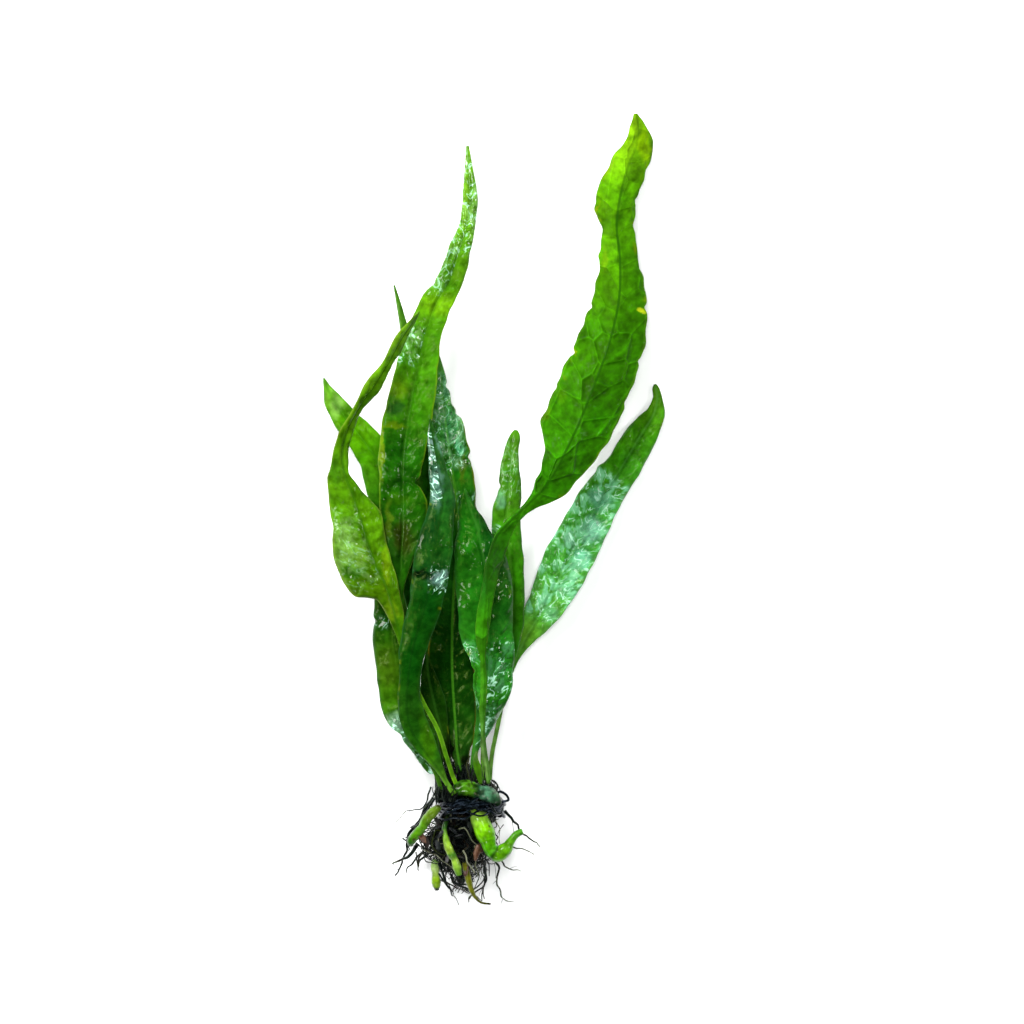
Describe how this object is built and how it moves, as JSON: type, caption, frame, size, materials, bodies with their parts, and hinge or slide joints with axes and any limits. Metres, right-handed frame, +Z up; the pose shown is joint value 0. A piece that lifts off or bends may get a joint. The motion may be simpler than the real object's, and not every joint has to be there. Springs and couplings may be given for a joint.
{
  "type": "java fern",
  "caption": "Bare-root java fern lying on its back: long wavy leaves fanning out from tied green rhizomes with a tangle of dark wiry roots.",
  "frame": {"origin": "middle of the plant's outline as seen from above, on the surface that it lies on", "axes": "+Z up from the surface, towards the plant's front; +Y along the plant from the roots towards the leaf tips; +X towards the tallest leaf's side"},
  "size_m": [0.0946, 0.2182, 0.0254],
  "materials": {
    "leaf_matte": "satin",
    "leaf_bright": "gloss",
    "leaf_lime": "gloss",
    "leaf_olive": "gloss",
    "leaf_dark": "gloss",
    "rhizome_green": "gloss",
    "rhizome_pale": "gloss",
    "root": "satin",
    "tie_elastic": "satin"
  },
  "bodies": {
    "root": {"frond_tall_right": "leaf_matte", "frond_tall_left": "leaf_bright", "frond_slender_back": "leaf_bright", "frond_folded_left": "leaf_lime", "frond_outer_left": "leaf_lime", "frond_centre_back": "leaf_dark", "frond_short_right": "leaf_bright", "frond_outer_right": "leaf_bright", "frond_dark_centre": "leaf_dark", "frond_low_left": "leaf_olive", "frond_front_right": "leaf_bright", "frond_inner_left": "leaf_dark", "frond_young": "leaf_lime", "rhizome_front": "rhizome_green", "rhizome_middle": "rhizome_green", "rhizome_back": "rhizome_green", "rhizome_right": "rhizome_green", "rhizome_left": "rhizome_green", "rhizome_lower": "rhizome_pale", "rhizome_stub_left": "rhizome_pale", "rhizome_stub_right": "rhizome_pale", "tie": "tie_elastic", "root_mat": "root", "root_left_high": "root", "root_left_outer": "root", "root_left_green": "root", "root_left_low": "root", "root_left_inner": "root", "root_bottom_left": "root", "root_bottom_long": "root", "root_right_arc": "root", "root_bulb_upper": "root", "root_bulb_lower": "root", "root_right_long": "root", "root_right_bottom": "root", "root_top_right": "root"}
  },
  "joints": []
}
